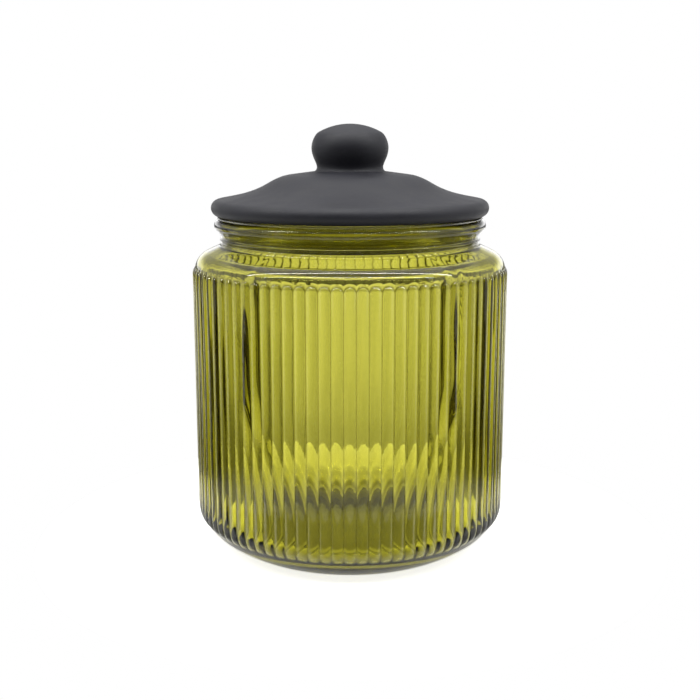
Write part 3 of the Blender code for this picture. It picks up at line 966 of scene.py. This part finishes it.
def table_paper():
    """White paper for the camera. For the glass, painted shade on its front half and painted light behind and under the
    jar.
    """
    material, place = start_material("studio_table")
    lit = ramp(place.node("SeparateXYZ", {}, {0: place}, "Y"), *TABLE_LIT_FROM)
    behind = ramp(axis_distance(place), *TABLE_GLOW_RISES, 0.0, TABLE_GLOW)
    under = ramp(axis_distance(place), *UNDER_GLOW_FALLS, UNDER_GLOW, 0.0)
    glow = place.node("VectorMath", {"operation": "SCALE"}, {0: (1.0, 1.0, 1.0), "Scale": lit * behind + under})
    # To the glass the paper shows painted shade in front and painted light behind and under the jar.
    to_glass = place.node("BsdfPrincipled", {}, {
        "Base Color": between(lit, TABLE_FRONT_SHADE, TABLE_PALE),
        "Roughness": TABLE_ROUGHNESS,
        "Emission Color": glow,
        "Emission Strength": 1.0,
    })
    to_camera = place.node("BsdfPrincipled", {}, {
        "Base Color": TABLE_PALE,
        "Roughness": TABLE_ROUGHNESS,
        "Emission Color": (1.0, 1.0, 1.0, 1.0),
        "Emission Strength": PAPER_GLOW,
    })
    looked_at = place.node("LightPath", {}, {}, "Is Camera Ray")
    both = place.node("MixShader", {}, {0: looked_at, 1: to_glass, 2: to_camera})
    place.node("OutputMaterial", {}, {"Surface": both})
    return material


print("the paper glows", TABLE_GLOW, "behind the jar and", UNDER_GLOW, "under it")

# %% [markdown]
# The table itself is a flat disc. It is part of the stage, not of the jar.

# %% The table
TABLE_RADIUS = 0.15
TABLE_COLUMNS = 96


def white_table():
    """A flat disc just under the foot: a pole and one ring of points, as a fan."""
    ring = turned_grid(np.array([(TABLE_RADIUS, 0.0)]), TABLE_COLUMNS)[0]
    points = np.concatenate([[(0.0, 0.0, 0.0)], ring])
    around = np.arange(TABLE_COLUMNS)
    faces = np.stack([np.zeros(TABLE_COLUMNS, int), 1 + around, 1 + (around + 1) % TABLE_COLUMNS], axis=1)
    mesh = bpy.data.meshes.new("studio_table")
    mesh.from_pydata(points.tolist(), [], faces.tolist())
    mesh.materials.append(table_paper())
    table = new_object("studio_table", mesh)


white_table()
print("table", TABLE_RADIUS, "m in radius")

# %% [markdown]
# The room is light by direction only. A direction has a side, in degrees away from straight behind the jar, and a
# climb, in degrees above the level. A picture of a studio could be used instead, but drawn with small functions each
# light can be read and changed by itself.

# %% Sides and climbs
EDGE_SOFTNESS = 2.0


def beyond(side, degrees):
    """1 for directions further round than an edge, 0 short of it, with a few degrees between."""
    return ramp(side, degrees - EDGE_SOFTNESS, degrees + EDGE_SOFTNESS)


def above(up, start, end):
    """0 below one climb and 1 above another: a direction's height is the sine of its climb."""
    return ramp(up, math.sin(math.radians(start)), math.sin(math.radians(end)))


def within(side, start, end):
    """1 between two sides, 0 elsewhere."""
    return beyond(side, start) - beyond(side, end)


def band(up, foot, top):
    """1 between two climbs, 0 elsewhere: each is given by where it starts and where it is full."""
    return above(up, *foot) - above(up, *top)


def blend(first, second, share):
    """A value that goes over from the first to the second as the share goes from 0 to 1."""
    return first * (1 - share) + second * share


print("edges in the room are", 2 * EDGE_SOFTNESS, "degrees soft")

# %% [markdown]
# What lies low behind the table is seen through the ribs. Each rib is a strong lens, and shows a strip of the room
# from far left to far right. A lit backdrop fills the middle of every rib, and the dimmer gaps at its two sides help
# to draw the dark lines in the grooves. Beyond them come a lit panel and the side of the room. A bench, a dimmer band
# low down, crosses them all.

# %% The low room
BACKDROP = 1.30
BACKDROP_LEAN = 0.20
BACKDROP_EDGE = 41.0
GAP_LIGHT = 0.50
GAP_CLIMB = (-12.2, -11.0)
SIDE_PANEL = 1.05
SIDE_PANEL_EDGES = (57.0, 72.0)
SIDE_ROOM = 0.75
SIDE_ROOM_END = 95.0
DARK_ROOM = 0.04
BENCH_SHADE = 0.60
BENCH_SIDE_SHADE = 0.35
BENCH_FOOT = (-20.0, -18.0)
BENCH_TOP = (-16.9, -12.1)


def lit_backdrop(turn, side):
    """The backdrop's light, which leans to one side with the sine of the turn."""
    lean = BACKDROP_LEAN * turn.sum("SINE", turn * math.radians(1.0), 0.0)
    return (BACKDROP + lean) * (1 - beyond(side, BACKDROP_EDGE))


def low_room(turn, side, up):
    """Backdrop, gap, panel and room side by side, dimmed by the bench."""
    gap = GAP_LIGHT * within(side, BACKDROP_EDGE, SIDE_PANEL_EDGES[0]) * above(up, *GAP_CLIMB)
    panel = SIDE_PANEL * within(side, *SIDE_PANEL_EDGES)
    room = SIDE_ROOM * within(side, SIDE_PANEL_EDGES[1], SIDE_ROOM_END)
    low = lit_backdrop(turn, side) + gap + panel + room + DARK_ROOM
    bench = band(up, BENCH_FOOT, BENCH_TOP)
    shade = BENCH_SHADE + (BENCH_SIDE_SHADE - BENCH_SHADE) * beyond(side, BACKDROP_EDGE)
    return low * (1 - bench * (1 - shade))


print("backdrop", BACKDROP, "gap", GAP_LIGHT, "panel", SIDE_PANEL, "dark room", DARK_ROOM)

# %% [markdown]
# Round the level the backdrop goes on a little brighter, with a lit room at its sides and a dark front. A dark horizon
# crosses it, because glass takes its drawing from dark things behind it, and looks flat without any.

# %% The near tier, with its horizon
NEAR_BACK = 1.25
NEAR_ROOM = 0.75
NEAR_FRONT = 0.08
NEAR_ROOM_END = 125.0
NEAR_CLIMB = (-8.4, -7.6)
HORIZON_SHADE = 0.12
HORIZON_EDGE = 60.0
HORIZON_FOOT = (-7.3, -7.0)
HORIZON_TOP = (-2.0, -1.0)


def near_room(turn, side, up):
    """The low room, and above it the near tier, with the horizon's shade over both."""
    around = NEAR_ROOM * beyond(side, BACKDROP_EDGE) - (NEAR_ROOM - NEAR_FRONT) * beyond(side, NEAR_ROOM_END)
    near = NEAR_BACK * lit_backdrop(turn, side) + around
    light = blend(low_room(turn, side, up), near, above(up, *NEAR_CLIMB))
    horizon = band(up, HORIZON_FOOT, HORIZON_TOP) * (1 - beyond(side, HORIZON_EDGE))
    return light * (1 - horizon * (1 - HORIZON_SHADE))


print("near tier", NEAR_BACK, "behind,", NEAR_ROOM, "beside,", NEAR_FRONT, "in front")

# %% [markdown]
# Higher up the room shows mostly as reflections on the lid. The upper tier is brightest at the two sides. The two
# highest tiers are brighter behind the jar than in front of it, and that shades the lid from its back to its front.

# %% The upper tiers
UPPER_BACK = 0.45
UPPER_SIDE = 0.80
UPPER_SIDE_EDGES = (55.0, 120.0)
UPPER_CLIMB = (4.0, 14.0)
HIGH_BACK = 0.90
HIGH_FRONT = 0.10
HIGH_CLIMB = (26.0, 34.0)
TOP_BACK = 1.9
TOP_FRONT = 0.7
TOP_CLIMB = (44.0, 54.0)
FRONT_TO_BACK = (-0.30, 0.10)


def upper_tiers(light, side, along, up):
    """Three tiers blended in over the light below them, one above the other."""
    flank = UPPER_SIDE * within(side, *UPPER_SIDE_EDGES)
    upper = UPPER_BACK * (1 - beyond(side, UPPER_SIDE_EDGES[0])) + flank + DARK_ROOM
    light = blend(light, upper, above(up, *UPPER_CLIMB))
    light = blend(light, ramp(along, *FRONT_TO_BACK, HIGH_FRONT, HIGH_BACK), above(up, *HIGH_CLIMB))
    return blend(light, ramp(along, *FRONT_TO_BACK, TOP_FRONT, TOP_BACK), above(up, *TOP_CLIMB))


print("top tier", TOP_BACK, "behind and", TOP_FRONT, "in front")

# %% [markdown]
# All tiers go together into the world. The camera sees plain white instead. The room's front is dark to what mirrors
# it, but lit to what is seen through the glass, so that the jar isn't gloomy from behind.

# %% The room
FLOOR_LIGHT = 1.00
FRONT_THROUGH = 0.60


def white_room():
    """World light by direction: the turn is the arctangent of across over along, and the side is its size."""
    world = bpy.data.worlds.new("white_room")
    world.use_nodes = True
    world.node_tree.nodes.clear()
    way = Wire(world.node_tree).node("TexCoord", {}, {}, "Generated")
    across, along, up = (way.node("SeparateXYZ", {}, {0: way}, axis) for axis in "XYZ")
    turn = across.sum("ARCTAN2", across, along) * math.degrees(1.0)
    side = turn.sum("ABSOLUTE", turn, 0.0)
    light = blend(FLOOR_LIGHT, near_room(turn, side, up), above(up, *BENCH_FOOT))
    light = upper_tiers(light, side, along, up)
    through = way.node("LightPath", {}, {}, "Is Transmission Ray")
    front = beyond(side, SIDE_ROOM_END) * band(up, BENCH_FOOT, UPPER_CLIMB)
    light = light + through * front * FRONT_THROUGH
    camera = way.node("LightPath", {}, {}, "Is Camera Ray")
    strength = light * (1 - camera) + camera
    glow = way.node("Background", {}, {"Color": (1.0, 1.0, 1.0, 1.0), "Strength": strength})
    way.node("OutputWorld", {}, {"Surface": glow})
    bpy.context.scene.world = world
    return len(world.node_tree.nodes)


print("the room is made of", white_room(), "nodes")

# %% [markdown]
# Two long strips of light hang over the jar. Each draws one thin bright line along the shoulder, and the line's height
# there follows from the strip's climb. They are metres long, so that the lines run right round the front.

# %% The lamps
JAR_SHOULDER = (0.0, -0.070, 0.137)
LAMP_DISTANCE = 1.0


def strip_lamp(name, climb, length, width, radiance):
    """A long thin lamp across the front of the jar, at a climb in degrees above the shoulder, facing it."""
    lamp = bpy.data.lights.new(name, "AREA")
    lamp.shape = "RECTANGLE"
    lamp.size = length
    lamp.size_y = width
    lamp.energy = radiance * math.pi * length * width
    holder = new_object(name, lamp)
    turn = math.radians(climb)
    x, y, z = JAR_SHOULDER
    holder.location = (x, y - LAMP_DISTANCE * math.cos(turn), z + LAMP_DISTANCE * math.sin(turn))
    holder.rotation_euler = (math.pi / 2 - turn, 0.0, 0.0)
    print(name, "gives", round(lamp.energy, 1), "W")


strip_lamp("overhead_strip", climb=83.7, length=3.9, width=0.05, radiance=28.0)
strip_lamp("front_strip", climb=58.7, length=3.0, width=0.03, radiance=26.0)

# %% [markdown]
# The camera. Its distance, height and angle of view were found from the outline: the jar's foot and lid are ellipses
# whose roundness changes with height, and only one place for the eye fits them all.

# %% The camera
CAMERA_BACK = 0.5145
CAMERA_HEIGHT = 0.1955
CAMERA_PITCH = math.radians(11.518)
IMAGE_SIDE = 700
FOCAL_PIXELS = 1099.71
SENSOR_MM = 36.0

camera_data = bpy.data.cameras.new("camera")
camera_data.sensor_width = SENSOR_MM
camera_data.lens = SENSOR_MM * FOCAL_PIXELS / IMAGE_SIDE
camera = new_object("camera", camera_data)
camera.location = (0.0, -CAMERA_BACK, CAMERA_HEIGHT)
camera.rotation_euler = (math.pi / 2 - CAMERA_PITCH, 0.0, 0.0)
bpy.context.scene.camera = camera
print("lens", round(camera_data.lens, 2), "mm")

# %% [markdown]
# Light goes through eight or more faces of glass before it reaches the eye, so the path may be long. The picture is
# shown without a film curve, so that white stays white.

# %% How light is traced and shown
GLASS_BOUNCES = 24
MIRROR_BOUNCES = 8

scene = bpy.context.scene
scene.cycles.max_bounces = GLASS_BOUNCES
scene.cycles.transmission_bounces = GLASS_BOUNCES
scene.cycles.glossy_bounces = MIRROR_BOUNCES
scene.cycles.caustics_refractive = True
scene.cycles.caustics_reflective = False
scene.cycles.use_denoising = True
scene.view_settings.view_transform = "Standard"
print("light may cross", GLASS_BOUNCES, "faces of glass")
